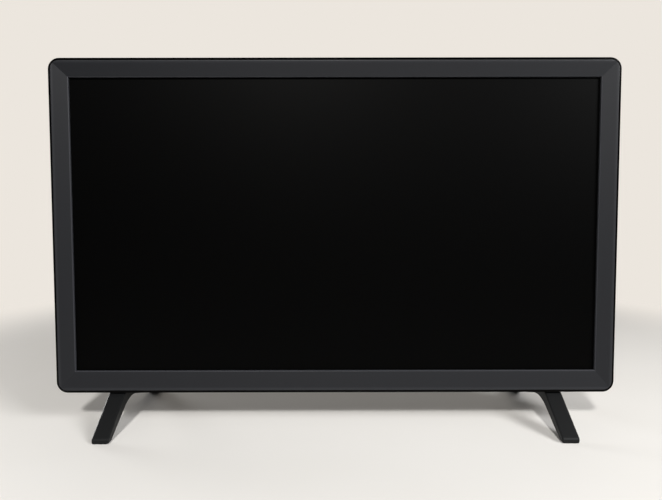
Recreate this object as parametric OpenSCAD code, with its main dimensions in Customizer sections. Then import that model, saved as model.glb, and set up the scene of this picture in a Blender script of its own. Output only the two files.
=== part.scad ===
// Flat screen television on two blade feet, in millimetres.
// It stands on z = 0 and its screen faces -y. Depths are measured back from the bezel's frontmost ridge,
// heights up from the underside of the body.

/* [Body] */
// Width over the rear cover
body_w = 562; // [552:1:620]
// Height of the body without its feet
body_h = 332.5; // [300:0.5:370]
// Radius of the four corners, seen from the front
corner_r = 11; // [7:0.5:14]
// Thickness of the flat part of the body
tray_depth = 32; // [29:0.5:38]
// Thickness of the body at its hump
hump_depth = 54; // [48:0.5:64]
// Wall of the rear cover
wall = 2.4; // [2:0.1:2.8]
// Rounding between the cover's sides and its back
back_edge_r = 5; // [4:0.5:7]
// Height of the underside above the table
lift = 37; // [35:0.5:48]

/* [Bezel] */
// Bezel width at the left and right of the screen
bezel_side = 19; // [17:0.5:22]
// Bezel width above the screen
bezel_top = 18.5; // [17:0.5:22]
// Bezel width below the screen
bezel_bottom = 22; // [20:0.5:26]
// Width of the cover's rim that shows round the bezel
rim_reveal = 2.6; // [0.8:0.1:2.7]
// Flat ridge between the rounded edge and the sloping face
ridge_w = 0.4; // [0.3:0.1:1]
// Rounding of the bezel's outer edge
bezel_edge = 0.6; // [0.5:0.1:1.3]
// Distance that the faces fall back towards the screen
face_drop = 2.6; // [1.6:0.1:3.2]
// Rounding of the bezel's edge at the screen
lip_r = 1; // [0.5:0.1:1.4]
// Wall of the bezel
bezel_wall = 2.2; // [1.9:0.1:2.5]
// Depth of the skirt that plugs into the cover
skirt_depth = 11; // [10:0.5:12]
// Wall of the skirt
skirt_wall = 1.8; // [1.4:0.1:2]

/* [Screen] */
// Border of the glass behind the bezel
cell_lap = 4.5; // [4:0.1:5]
// Border of the polariser behind the bezel
polariser_lap = 3; // [2.4:0.1:3.6]
// Foam strip between bezel and polariser
gasket_t = 0.8; // [0.5:0.1:1.2]
// Polariser film
polariser_t = 0.2; // [0.15:0.05:0.3]
// Bonded pair of glass sheets
cell_t = 1.2; // [0.8:0.1:1.6]
// Ledge of the panel frame that carries the glass
ledge_t = 1.2; // [1:0.1:1.6]
// Wall of the panel frame
frame_wall = 3.5; // [3:0.1:4]
// Prism film
prism_t = 0.3; // [0.2:0.05:0.4]
// Diffuser film
diffuser_t = 0.4; // [0.3:0.05:0.6]
// Light guide plate
guide_t = 3; // [2.5:0.1:3.5]
// Reflector film
reflector_t = 0.3; // [0.2:0.05:0.4]
// Sheet metal of the backlight pan
pan_t = 0.8; // [0.6:0.1:1]
// Spacing of the diodes
led_pitch = 12.6; // [8:0.1:16]
// Spacing of the driver films
film_pitch = 120; // [90:1:125]
// Width of a driver film
film_w = 36; // [24:1:44]

/* [Hump] */
// Space between a speaker's ears and the edge of the hump's flat top
hump_margin = 12; // [9:0.5:24]
// Space between a speaker and the lower edge of the hump's flat top
hump_drop = 4; // [3:0.5:6]
// Distance from the hump's flat top up to the body's top
hump_top_gap = 34; // [30:0.5:60]
// Spread of the hump's sides and top towards its foot
hump_run = 24; // [18:1:30]
// Spread of the hump's lower side towards its foot
hump_run_low = 14; // [10:0.5:16]
// Corner radius of the hump's flat top
hump_r = 14; // [10:1:20]
// Centre height of the wall bracket holes
bracket_height = 166; // [150:0.5:180]
// Spacing of the wall bracket holes
bracket_pitch = 75; // [75:25:100]
// Number of vent slots above the electronics
vent_count = 36; // [20:1:44]
// Spacing of the vent slots
vent_pitch = 6; // [5:0.1:7]
// Width of a vent slot
vent_w = 2.6; // [1.5:0.1:3]

/* [Ports] */
// Side position of the wall that the ports come through
bay_in = 128; // [114:0.5:142]
// Side position of the port bay's outer end
bay_out = 203; // [180:1:225]
// Depth of the port bay's floor
bay_floor = 20; // [18:0.5:22]
// Space between the bay's ends and the ports next to them
port_margin = 5; // [3:0.5:12]
// Space between neighbouring ports
port_space = 4; // [2:0.5:6]
// Bore of the headphone jack
phone_bore_r = 1.8; // [1.75:0.05:1.9]
// Barrel of the aerial socket
aerial_r = 4.75; // [4.5:0.05:5]
// Free length of the aerial socket's barrel
aerial_len = 9.5; // [8:0.5:12]
// Depth of the main board's front face
board_front = 22; // [20:0.5:24.5]
// Thickness of the printed boards
board_t = 1.6; // [1.2:0.1:2]

/* [Speakers] */
// Side position of a speaker
speaker_x = 115; // [105:0.5:125]
// Width of a speaker box
speaker_w = 74; // [60:1:80]
// Height of a speaker box's lower face
speaker_low = 34; // [30:0.5:38]
// Height of a speaker box
speaker_h = 28; // [24:0.5:32]
// Travel of a cone each way
cone_travel = 1.5; // [0.5:0.1:1.6]

/* [Control stick] */
// Radius of the control button
button_r = 4.8; // [4:0.1:5]
// Length of the button below the underside
button_drop = 5; // [4:0.5:6]
// Height of the point that the stick tilts about
pivot_height = 8; // [7.2:0.1:9]
// Travel of the button when it is pressed
press_travel = 0.6; // [0.4:0.05:0.7]
// Radius of the hole in the cover round the button
button_hole_r = 6.6; // [6.5:0.1:7]
// Radius of the stick's pivot pins
pin_r = 0.7; // [0.6:0.05:0.8]

/* [Feet] */
// Distance from the body's side to a foot
foot_inset = 51; // [49:0.5:55]
// Thickness of a foot blade
foot_w = 16.5; // [15:0.5:18]
// Chamfer along the edges of a blade
foot_edge = 1; // [0.5:0.1:1.5]
// Reach of a toe in front of the bezel
toe_reach = 36; // [28:0.5:42]
// Reach of a heel behind the bezel's front
heel_reach = 120; // [100:0.5:130]
// Height of a toe's front face
toe_h = 4.2; // [3:0.1:6]
// Length of a toe's sole
toe_len = 6; // [5.5:0.1:9]
// Height of a heel's rear face
heel_h = 5; // [4:0.1:8]
// Length of a heel's sole
heel_len = 6; // [5:0.1:10]
// Depth of the arch's highest point
arch_depth = 24.6; // [20:0.1:30]
// Thickness of the blade at the arch's highest point
arch_t = 10.3; // [9:0.1:13]
// Radius of the arch
arch_r = 41; // [32:1:46]
// Thickness of the rubber pads
pad_t = 1.2; // [1:0.1:1.5]

/* [Hidden] */
$fn = 48;
skin = 0.01;
slip = 0.3;
run_fit = 0.06;
thread_fit = 0.05;

bezel_grey = "#38393b";
cover_black = "#161617";
foot_grey = "#2a2c2e";
board_green = "#1f4a35";
metal = "#b4b8bb";

front_y = (toe_reach - heel_reach) / 2;
face_edge = rim_reveal + bezel_edge + ridge_w;
open_w = body_w - 2 * bezel_side;
open_h = body_h - bezel_top - bezel_bottom;
panel_mid = bezel_bottom + open_h / 2;

lip_back = face_drop + bezel_wall;
polariser_front = lip_back + gasket_t;
cell_front = polariser_front + polariser_t;
ledge_front = cell_front + cell_t;
ledge_back = ledge_front + ledge_t;
diffuser_front = ledge_back + prism_t;
guide_front = diffuser_front + diffuser_t;
reflector_front = guide_front + guide_t;
pan_front = reflector_front + reflector_t;
pan_back = pan_front + pan_t;
rim_front = bezel_wall - 0.5;
tray_inner = tray_depth - wall;
hump_inner = hump_depth - wall;

pocket_w = open_w + 2 * cell_lap + 1;
pocket_h = open_h + 2 * cell_lap + 1;
frame_w = pocket_w + 2 * frame_wall;
frame_h = pocket_h + 2 * frame_wall;
pan_w = frame_w + 2 * slip + 2 * pan_t;
pan_h = frame_h + 2 * slip + 2 * pan_t;
pocket_low = panel_mid - pocket_h / 2;
pan_low = panel_mid - pan_h / 2;
pan_high = panel_mid + pan_h / 2;

skirt_inset = wall + slip;
hook_depth = 7;
hook_len = 12;
hook_t = 2;
hook_reach = 0.9;
hook_in = 70;
hook_out = 200;
hook_low = 80;
hook_high = 250;
rib_t = 2;
rib_step = 100;

led_bar_t = 1;
led_t = 0.9;
led_count = floor(open_w / led_pitch) - 1;
guide_low = pocket_low + led_bar_t + led_t + 0.4;

film_count = 4;
film_t = 0.25;
film_front = cell_front + 0.4;
film_low = pan_low - 1.6;
source_t = 1;
source_back = pan_back + source_t;
source_low = pan_low + 0.8;
source_h = 14;
source_w = (film_count - 1) * film_pitch + film_w + 4;

pillar_r = 4;
pillar_x = body_w / 2 - 42;
pillar_spots = [for (x = [-pillar_x, pillar_x], height = [70, body_h / 2, body_h - 26]) [x, height]];
screw_r = 1.4;
screw_head_r = 3;
screw_head_h = 1.2;
screw_hole_r = 1.8;
cover_screw_len = 9;

speaker_front = pan_back + 3.8;
speaker_back = hump_inner - 4.6;
speaker_wall = 2;
driver_depth = (speaker_front + speaker_back) / 2;
driver_low = speaker_low - 1.4;
driver_r = (speaker_back - speaker_front) / 2 + 0.5;
basket_r = driver_r - 3.5;
cone_r = driver_r - 5.5;
coil_top = 12;
ear_t = 2;
ear_height = speaker_low + 18;
ear_reach = 11;
ear_spots = [speaker_x - speaker_w / 2 - 5, speaker_x + speaker_w / 2 + 5];
ear_front = speaker_back - ear_t;
shoulder = ear_front + ear_t + 2.2;
post_front = ear_front - 1.6;
post_r = 2;
grille_count = 14;
grille_pitch = 5;

hump_w = 2 * (speaker_x + speaker_w / 2 + ear_reach + hump_margin);
hump_low = speaker_low - hump_drop;
hump_high = body_h - hump_top_gap;

port_proud = 0.3;
port_gap = 0.4;
picture_h = 5.6;
picture_w = 15;
data_h = 5.7;
data_w = 13.1;
network_h = 13.4;
network_w = 15.9;
phone_h = 7;
phone_w = 8;
power_h = 11;
power_w = 9;
card_h = 7.6;
card_w = 58;
card_len = 62;
card_room = 58;
card_room_w = 54.4;
tuner_w = 20;
tuner_h = 11;
tuner_len = 32;
aerial_axis = 6.5;
port_widths = [power_w, picture_w, picture_w, data_w, network_w, phone_w, tuner_w, card_w];
bay_low = speaker_low + speaker_h + wall + 1.6;

// Height of a port, stacked upward from the bay's lower end.
function port_height(i) =
  i == 0
    ? bay_low + port_margin + port_widths[0] / 2
    : port_height(i - 1) + (port_widths[i - 1] + port_widths[i]) / 2 + port_space;

power_height = port_height(0);
picture_heights = [port_height(1), port_height(2)];
data_height = port_height(3);
network_height = port_height(4);
phone_height = port_height(5);
aerial_height = port_height(6);
card_height = port_height(7);
bay_high = card_height + card_w / 2 + port_margin;

board_back = board_front + board_t;
board_left = bay_in - wall - 1.6;
board_right = 40;
board_low = bay_low;
board_high = bay_high - 2;
board_spots = [
  [board_right - 20, board_low + 6], [board_right - 10, board_high - 10],
  [73 - bay_in, board_high - 8], [43 - bay_in, board_low + 6]
];
chip_spot = [-40, bracket_height];
bracket_spots = [for (x = [-1, 1], z = [-1, 1]) [0, bracket_height] + bracket_pitch / 2 * [x, z]];
insert_len = 11;
insert_seat_r = 3;
insert_hole_r = 1.65;
lock_x = 118;
lock_w = 7;
lock_low = 196;
lock_h = 3;
recess_x = 58;
recess_w = 94;
recess_low = 62;
recess_h = 50;
chip_t = 1.6;
chip_w = 26;
memory_w = 10;
memory_h = 13;
memory_step = 12;
driver_chip_w = 12;
driver_chip_h = 9;
small_chip_w = 8;
small_chip_row = board_low + 30;
network_chip_h = 14;
network_chip_t = 5;
sink_w = 46;
sink_t = 2.5;
fin_t = 1.4;
fin_h = 10;
row_height = board_low + 46;
cap_r = 4;
cap_h = 11;
cap_step = 11;
cap_row = power_height + 10;
cap_x = 32 - bay_in;
control_plug = board_low + 4;
panel_plug = board_low + 12;
flat_plug_h = 4;
control_plug_w = 12;
panel_plug_in = 18;
panel_plug_out = 62;
lead_plug_w = 8;
lead_plug_h = 6;
lead_plug_t = 3.6;
lead_plug_left = 64;
lead_plug_right_low = board_low + 16;
lead_plug_left_low = board_low + 8;

housing_r = (tray_inner - source_back) / 2 - slip;
housing_bore = housing_r - 0.8;
ring_out = housing_bore - 0.6;
ring_in = ring_out - 1.4;
cradle_r = ring_in - 0.5;
gimbal_t = 2.4;
stem_r = 1.8;
stick_depth = (source_back + tray_inner) / 2;
control_low = pivot_height + 4.2;
control_t = 1.2;
switch_t = 0.9;
plunger_t = 0.5;
stem_top = control_low - switch_t - plunger_t - press_travel - 0.1;
control_front = source_back + 1;
control_back = tray_inner - 1.6;
control_spots = [-16, 16];
window_x = 28;
window_w = 8;
window_d = 6;
control_left = control_spots[0] - 8;
control_right = window_x + window_w;

foot_x = body_w / 2 - foot_inset - foot_w / 2;
pad_proud = 0.5;
pad_gap = 0.8;
sole = pad_proud - lift;
neck_front = 7;
neck_back = tray_depth - back_edge_r;
tenon_w = 10;
tenon_front = source_back + 2.8;
tenon_back = neck_back;
tenon_h = 20;
foot_screw_height = 12;
foot_screw_len = tray_depth - screw_head_h - tenon_front - 2;
socket_wall = 2;

// Places children at the body's front underside.
module in_body() {
  translate([0, front_y, lift]) children();
}

// Extrudes an outline drawn as seen from the front, from one depth to another.
module back_to(d0, d1) {
  translate([0, d1, 0]) rotate([90, 0, 0]) linear_extrude(d1 - d0) children();
}

// Extrudes an outline drawn in depth and height, from one side position to another.
module across(x0, x1) {
  translate([x0, 0, 0]) rotate([90, 0, 90]) linear_extrude(x1 - x0) children();
}

// Box between two corners.
module block(a, b) {
  translate(a) cube(b - a);
}

// Round bar along the depth.
module rod(x, height, d0, d1, r) {
  translate([x, d0, height]) rotate([-90, 0, 0]) cylinder(h = d1 - d0, r = r);
}

module round_rect(w, h, r) {
  square([w - 2 * r, h], center = true);
  square([w, h - 2 * r], center = true);
  for (x = [-1, 1], y = [-1, 1])
    translate([x * (w / 2 - r), y * (h / 2 - r)]) circle(r);
}

module body_outline(inset) {
  translate([0, body_h / 2])
    round_rect(body_w - 2 * inset, body_h - 2 * inset, max(corner_r - inset, 1));
}

module panel_rect(w, h) {
  translate([0, panel_mid]) square([w, h], center = true);
}

// Rectangular frame round the screen, from one depth to another.
module panel_ring(d0, d1, out_w, out_h, in_w, in_h) {
  back_to(d0, d1) difference() {
    panel_rect(out_w, out_h);
    panel_rect(in_w, in_h);
  }
}

module panel_sheet(d0, t, lap) {
  back_to(d0, d0 + t) panel_rect(open_w + 2 * lap, open_h + 2 * lap);
}

// Mirrored copies at the left and the right.
module both_sides() {
  children();
  mirror([1, 0, 0]) children();
}

// Screw that points forward, with a cross recess in its head; its origin is under the head.
module pan_screw(head_r, head_h, shank_r, shank_len) {
  rotate([-90, 0, 0]) difference() {
    union() {
      cylinder(h = head_h, r = head_r);
      translate([0, 0, -shank_len]) cylinder(h = shank_len + 0.2, r = shank_r);
    }
    for (turn = [0, 90])
      rotate([0, 0, turn]) translate([-head_r * 0.55, -0.3, head_h - 0.6]) cube([head_r * 1.1, 0.6, 1]);
  }
}

// Everything in front of the bezel's sloping faces, moved back by a shift.
module face_wedge(shift) {
  lead = 10;
  side_run = (bezel_side - face_edge) / face_drop;
  top_run = (bezel_top - face_edge) / face_drop;
  low_run = (bezel_bottom - face_edge) / face_drop;
  wide = body_w / 2 - face_edge + side_run * lead;
  translate([0, shift, 0]) intersection() {
    translate([0, 0, -body_h]) linear_extrude(3 * body_h) polygon([
      [-wide, -lead], [wide, -lead], [open_w / 2, face_drop], [-open_w / 2, face_drop]
    ]);
    across(-body_w, body_w) polygon([
      [-lead, face_edge - low_run * lead], [face_drop, bezel_bottom],
      [face_drop, body_h - bezel_top], [-lead, body_h - face_edge + top_run * lead]
    ]);
  }
}

module bezel_blank() {
  hull() {
    back_to(bezel_edge, lip_back) body_outline(rim_reveal, $fn = 32);
    for (turn = [18 : 18 : 90]) {
      depth = bezel_edge * (1 - sin(turn));
      back_to(depth, depth + skin) body_outline(rim_reveal + bezel_edge * (1 - cos(turn)), $fn = 32);
    }
  }
}

// Everything inside the rounded edge at the screen, in widening steps from the wall to the sloping faces.
module lip_space() {
  fall = face_drop / (bezel_side - face_edge);
  mid = face_drop + lip_r * (sqrt(1 + fall * fall) - fall);
  turns = [0, 30, 60, 90 - atan(fall)];
  arc = [for (turn = turns) [lip_r * (1 - cos(turn)), mid - lip_r * sin(turn)]];
  steps = [arc[0], arc[1], arc[2], arc[2] + 1.3 * (arc[3] - arc[2])];
  for (i = [0 : 2])
    hull() for (p = [steps[i], steps[i + 1]])
      back_to(p.y - skin, p.y) panel_rect(open_w + 2 * p.x, open_h + 2 * p.x);
}

// Places children at the snap hooks, with z pointing out of the body's edge.
module at_hooks() {
  for (x = [-hook_out, -hook_in, hook_in, hook_out]) {
    translate([x, 0, body_h]) children();
    translate([x, 0, 0]) rotate([0, 180, 0]) children();
  }
  for (height = [hook_low, hook_high]) {
    translate([body_w / 2, 0, height]) rotate([0, 90, 0]) children();
    translate([-body_w / 2, 0, height]) rotate([0, -90, 0]) children();
  }
}

// Ribs inside the skirt that centre the backlight pan.
module bezel_ribs() {
  skirt_in = skirt_inset + skirt_wall - 0.5;
  for (height = [panel_mid - rib_step, panel_mid + rib_step])
    both_sides() block(
      [pan_w / 2 + slip, lip_back - 1, height], [body_w / 2 - skirt_in, skirt_depth, height + rib_t]
    );
  for (x = [-film_pitch, film_pitch]) {
    block([x, lip_back - 1, pan_high + slip], [x + rib_t, skirt_depth, body_h - skirt_in]);
    block([x, lip_back - 1, skirt_in], [x + rib_t, skirt_depth, pan_low - slip]);
  }
}

module front_bezel() {
  color(bezel_grey) in_body() difference() {
    union() {
      intersection() {
        bezel_blank();
        face_wedge(bezel_wall);
      }
      back_to(bezel_wall - 0.6, skirt_depth) difference() {
        body_outline(skirt_inset);
        body_outline(skirt_inset + skirt_wall);
      }
      bezel_ribs();
      at_hooks() block(
        [-hook_len / 2, hook_depth, -skirt_inset - 0.5],
        [hook_len / 2, hook_depth + hook_t, hook_reach - skirt_inset]
      );
    }
    face_wedge(0);
    lip_space();
    back_to(-1, lip_back + 1) panel_rect(open_w, open_h);
    back_to(rim_front - 0.2, lip_back + 1) difference() {
      body_outline(-2);
      body_outline(skirt_inset);
    }
  }
}

module screen_gasket() {
  color("#121212") in_body() panel_ring(
    lip_back, polariser_front,
    open_w + 2 * polariser_lap - 0.4, open_h + 2 * polariser_lap - 0.4, open_w + 1.6, open_h + 1.6
  );
}

module front_polariser() {
  color("#08080a") in_body() panel_sheet(polariser_front, polariser_t, polariser_lap);
}

module lcd_cell() {
  color("#1c2226") in_body() panel_sheet(cell_front, cell_t, cell_lap);
}

module panel_frame() {
  color("#101113") in_body() difference() {
    panel_ring(polariser_front + 0.2, pan_front, frame_w, frame_h, open_w + 2, open_h + 2);
    back_to(0, ledge_front) panel_rect(pocket_w, pocket_h);
    back_to(ledge_back, pan_back) panel_rect(pocket_w, pocket_h);
    at_films() block(
      [-film_w / 2 - 0.5, 0, pan_low - 1], [film_w / 2 + 0.5, ledge_front, pocket_low + 1]
    );
  }
}

module prism_sheet() {
  color("#d9dcdf") in_body() panel_sheet(ledge_back, prism_t, cell_lap);
}

module diffuser_sheet() {
  color("#eeeeea") in_body() panel_sheet(diffuser_front, diffuser_t, cell_lap);
}

module light_guide() {
  half = open_w / 2 + cell_lap;
  color("#dfe8ea") in_body() block(
    [-half, guide_front, guide_low], [half, reflector_front, panel_mid + pocket_h / 2 - 0.5]
  );
}

module reflector_sheet() {
  half = open_w / 2 + cell_lap;
  color("#f5f5f5") in_body() block(
    [-half, reflector_front, guide_low], [half, pan_front, panel_mid + pocket_h / 2 - 0.5]
  );
}

module led_strip() {
  half = led_count * led_pitch / 2 + 3;
  color(metal) in_body() block(
    [-half, guide_front + 0.1, pocket_low], [half, pan_front - 0.1, pocket_low + led_bar_t]
  );
}

module led_packages() {
  mid = guide_front + guide_t / 2;
  color("#f4ecc8") in_body()
    for (i = [0 : led_count - 1])
      translate([(i - (led_count - 1) / 2) * led_pitch, 0, pocket_low + led_bar_t])
        block([-2, mid - 1, 0], [2, mid + 1, led_t]);
}

module backlight_pan() {
  color(metal) in_body() {
    panel_ring(ledge_front + 0.5, pan_front + 0.1, pan_w, pan_h, pan_w - 2 * pan_t, pan_h - 2 * pan_t);
    back_to(pan_front, pan_back) panel_rect(pan_w, pan_h);
  }
}

module source_board() {
  color(board_green) in_body() block(
    [-source_w / 2, pan_back, source_low], [source_w / 2, source_back, source_low + source_h]
  );
}

module at_films() {
  for (i = [0 : film_count - 1])
    translate([(i - (film_count - 1) / 2) * film_pitch, 0, 0]) children();
}

// Films that fold from the glass round the pan to the source board.
module driver_films() {
  glass_low = panel_mid - open_h / 2 - cell_lap;
  back = source_back + film_t;
  color("#b0762c") in_body() at_films() across(-film_w / 2, film_w / 2) polygon([
    [film_front, glass_low], [film_front, film_low],
    [back, film_low], [back, source_low + 5],
    [source_back, source_low + 5], [source_back, film_low + film_t],
    [film_front + film_t, film_low + film_t], [film_front + film_t, glass_low]
  ]);
}

module cover_pillars() {
  color(metal) in_body()
    for (spot = pillar_spots) difference() {
      rod(spot.x, spot.y, pan_back, tray_inner, pillar_r);
      rod(spot.x, spot.y, tray_inner - 9, tray_inner + 1, screw_r + thread_fit);
    }
}

// The body's shallow tray, drawn in by an inset: zero outside, the wall inside.
module tray_form(inset) {
  r = back_edge_r - inset;
  hull() {
    back_to(rim_front - inset, tray_depth - back_edge_r) body_outline(inset, $fn = 32);
    for (turn = [30, 60, 90]) {
      depth = tray_depth - back_edge_r + r * sin(turn);
      back_to(depth - skin, depth) body_outline(back_edge_r - r * cos(turn), $fn = 32);
    }
  }
}

module hump_outline(grow) {
  share = hump_run_low / hump_run;
  low = hump_low - grow * share;
  high = hump_high + grow;
  translate([0, (low + high) / 2]) round_rect(hump_w + 2 * grow, high - low, hump_r + grow);
}

// The hump on the tray's back, drawn in by an inset.
module hump_form(inset) {
  spread = hump_run / (hump_depth - tray_depth);
  hull() {
    for (step = [[tray_depth - hump_depth - 6, 0], [-4, 0], [-1.2, 0.5], [0, 1.8]]) {
      depth = hump_depth + step[0] - inset;
      back_to(depth - skin, depth) hump_outline(-step[0] * spread - step[1] - inset * 0.5, $fn = 32);
    }
  }
}

// The bay that the ports look into, drawn out by a margin.
module bay_form(margin) {
  block(
    [-bay_out - margin, bay_floor - margin, bay_low - margin],
    [-bay_in + margin, hump_depth + 20, bay_high + margin]
  );
}

module port_window(height, d0, d1, w) {
  block(
    [-bay_in - 1, board_back + d0 - port_gap, height - w / 2 - port_gap],
    [-bay_in + wall + 1, board_back + d1 + port_gap, height + w / 2 + port_gap]
  );
}

module port_windows() {
  port_window(power_height, 0, power_h, power_w);
  for (height = picture_heights) port_window(height, 0, picture_h, picture_w);
  port_window(data_height, 0, data_h, data_w);
  port_window(network_height, 0, network_h, network_w);
  port_window(phone_height, 0, phone_h, phone_w);
  port_window(card_height, 0, card_h, card_w);
  translate([-bay_in - 1, board_back + aerial_axis, aerial_height]) rotate([0, 90, 0])
    cylinder(h = wall + 2, r = aerial_r + port_gap);
}

module cover_shell() {
  difference() {
    union() {
      tray_form(0);
      hump_form(0);
    }
    bay_form(0);
    difference() {
      union() {
        tray_form(wall);
        hump_form(wall);
      }
      bay_form(wall);
    }
  }
}

// Slots above the electronics, under them and below the speakers.
module cover_vents() {
  for (i = [0 : vent_count - 1])
    translate([(i - (vent_count - 1) / 2) * vent_pitch - vent_w / 2, 0, 0])
      block([0, hump_depth - 17, hump_high - 6], [vent_w, hump_depth - 5, hump_high + hump_run + 10]);
  for (i = [0 : 17])
    translate([(i - 8.5) * vent_pitch - vent_w / 2, 0, 0])
      block([0, hump_depth - 16, hump_low - hump_run_low - 8], [vent_w, hump_depth - 5, hump_low + 2]);
  both_sides() for (i = [0 : grille_count - 1])
    translate([speaker_x + (i - (grille_count - 1) / 2) * grille_pitch, 0, 0])
      block([-1.2, pan_back + 0.3, -1], [1.2, tray_depth - back_edge_r - 3, wall + 1]);
}

// Bosses and sockets that stand inside the cover.
module cover_bosses() {
  for (spot = bracket_spots)
    rod(spot.x, spot.y, hump_depth - insert_len, hump_inner + 0.5, 2 * insert_seat_r);
  for (x = control_spots)
    translate([x, stick_depth, wall - 0.5]) cylinder(h = control_low - wall + 0.5, r = 2.8);
  both_sides() {
    block(
      [foot_x - tenon_w / 2 - slip - socket_wall, tenon_front - slip - socket_wall, wall - 0.5],
      [foot_x + tenon_w / 2 + slip + socket_wall, tray_inner + 0.5, tenon_h + slip + socket_wall]
    );
    for (x = ear_spots) {
      rod(x, ear_height, shoulder, hump_inner + 0.5, 4);
      rod(x, ear_height, post_front, shoulder + 0.5, post_r);
    }
  }
}

module cover_holes() {
  port_windows();
  cover_vents();
  at_hooks() block(
    [-hook_len / 2 - port_gap, hook_depth - port_gap, -wall - 0.5],
    [hook_len / 2 + port_gap, hook_depth + hook_t + port_gap, hook_reach - skirt_inset + 0.4]
  );
  for (spot = pillar_spots) {
    rod(spot.x, spot.y, tray_inner - 0.5, tray_depth + 1, screw_hole_r);
    rod(spot.x, spot.y, tray_depth - screw_head_h, tray_depth + 1, screw_head_r + 0.4);
  }
  for (spot = bracket_spots)
    rod(spot.x, spot.y, hump_depth - insert_len - 1, hump_depth + 1, insert_seat_r);
  for (x = control_spots)
    translate([x, stick_depth, wall + 1.6]) cylinder(h = control_low, r = 1.25);
  translate([0, stick_depth, -1]) cylinder(h = wall + 4, r = button_hole_r);
  block(
    [window_x - window_w / 2 - slip, stick_depth - window_d / 2 - slip, -1],
    [window_x + window_w / 2 + slip, stick_depth + window_d / 2 + slip, wall + 1]
  );
  block([lock_x, hump_inner - 1, lock_low], [lock_x + lock_w, hump_depth + 1, lock_low + lock_h]);
  block(
    [recess_x, hump_depth - 0.4, recess_low],
    [recess_x + recess_w, hump_depth + 1, recess_low + recess_h]
  );
  both_sides() {
    block(
      [foot_x - tenon_w / 2 - slip, tenon_front - slip, -1],
      [foot_x + tenon_w / 2 + slip, tenon_back + slip, tenon_h + slip]
    );
    rod(foot_x, foot_screw_height, tenon_back, tray_depth + 1, screw_hole_r);
    rod(foot_x, foot_screw_height, tray_depth - screw_head_h, tray_depth + 1, screw_head_r + 0.4);
    for (x = ear_spots) rod(x, ear_height, post_front - 1, shoulder + 1, 1);
  }
}

module rear_cover() {
  color(cover_black) in_body() difference() {
    union() {
      cover_shell();
      cover_bosses();
    }
    cover_holes();
  }
}

module cover_screws() {
  color("#2b2c2e") in_body() for (spot = pillar_spots)
    translate([spot.x, tray_depth - screw_head_h, spot.y])
      pan_screw(screw_head_r, screw_head_h, screw_r, cover_screw_len);
}

module bracket_inserts() {
  color("#b89a4e") in_body()
    for (spot = bracket_spots) difference() {
      rod(spot.x, spot.y, hump_depth - insert_len, hump_depth, insert_seat_r - 0.02);
      rod(spot.x, spot.y, hump_depth - insert_len - 1, hump_depth + 1, insert_hole_r);
    }
}

module board_pillars() {
  color(metal) in_body() for (spot = board_spots) difference() {
    rod(spot.x, spot.y, pan_back, board_front, 3);
    rod(spot.x, spot.y, board_front - 6, board_front + 1, 1.2 + thread_fit);
  }
}

module main_board() {
  color(board_green) in_body() difference() {
    block([-board_left, board_front, board_low], [board_right, board_back, board_high]);
    for (spot = board_spots) rod(spot.x, spot.y, board_front - 1, board_back + 1, 1.6);
  }
}

module board_screws() {
  color(metal) in_body() for (spot = board_spots)
    translate([spot.x, board_back, spot.y]) pan_screw(2.6, 1.8, 1.2, 6);
}

// Part on the main board's rear face, centred on a spot.
module on_board(x, height, w, h, t) {
  translate([x - w / 2, board_back, height - h / 2]) cube([w, t, h]);
}

module board_chips() {
  color("#1a1a1c") in_body() {
    on_board(chip_spot.x, chip_spot.y, chip_w, chip_w, chip_t);
    for (side = [-1, 1]) on_board(0, chip_spot.y + side * memory_step, memory_w, memory_h, 1.2);
    on_board(-45, row_height, driver_chip_w, driver_chip_h, 1.1);
    on_board(-15, small_chip_row, small_chip_w, small_chip_w, 1.2);
    on_board(cap_x, network_height, small_chip_w, network_chip_h, network_chip_t);
  }
}

module board_capacitors() {
  spots = [
    [cap_x, cap_row], [cap_x + cap_step, cap_row], [cap_x + 2 * cap_step, cap_row + 6],
    [8, row_height], [20, row_height]
  ];
  color("#30343c") in_body() for (spot = spots) rod(spot.x, spot.y, board_back, board_back + cap_h, cap_r);
}

module heat_sink() {
  base = board_back + chip_t;
  color(metal) in_body() translate([chip_spot.x - sink_w / 2, base, chip_spot.y - sink_w / 2]) {
    cube([sink_w, sink_t, sink_w]);
    for (i = [0 : 7])
      translate([i * (sink_w - fin_t) / 7, sink_t - 0.5, 0]) cube([fin_t, fin_h, sink_w]);
  }
}

module tuner_can() {
  color(metal) in_body() block(
    [-bay_in + wall + port_gap, board_back, aerial_height - tuner_w / 2],
    [-bay_in + wall + tuner_len, board_back + tuner_h, aerial_height + tuner_w / 2]
  );
}

// Places a port with x running inward from its mouth and y running back from the board.
module at_port(height) {
  in_body() translate([-bay_in - port_proud, board_back, height]) children();
}

// Bar along a port's own axis.
module port_rod(axis, x0, x1, r) {
  translate([x0, axis, 0]) rotate([0, 90, 0]) cylinder(h = x1 - x0, r = r);
}

module aerial_socket() {
  base = wall + port_proud + port_gap;
  color("#c9c4b4") at_port(aerial_height) {
    difference() {
      union() {
        port_rod(aerial_axis, -aerial_len, -0.2, aerial_r);
        port_rod(aerial_axis, -0.4, base, aerial_r - 0.35);
      }
      port_rod(aerial_axis, -aerial_len - 1, -1.5, aerial_r - 1);
    }
    difference() {
      port_rod(aerial_axis, -aerial_len + 1, -1, 1.6);
      port_rod(aerial_axis, -aerial_len, -2, 0.9);
    }
  }
}

module picture_outline(inset) {
  half = picture_w / 2 - inset;
  polygon([
    [inset, 1.8 - half], [1.6, -half], [picture_h - inset, -half],
    [picture_h - inset, half], [1.6, half], [inset, half - 1.8]
  ]);
}

module picture_sockets() {
  color(metal) for (height = picture_heights) at_port(height) {
    difference() {
      across(0, 11) picture_outline(0);
      across(-1, 10) picture_outline(0.4);
    }
    block([2, 2.2, -5.6], [10.5, 3.6, 5.6]);
  }
}

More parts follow.
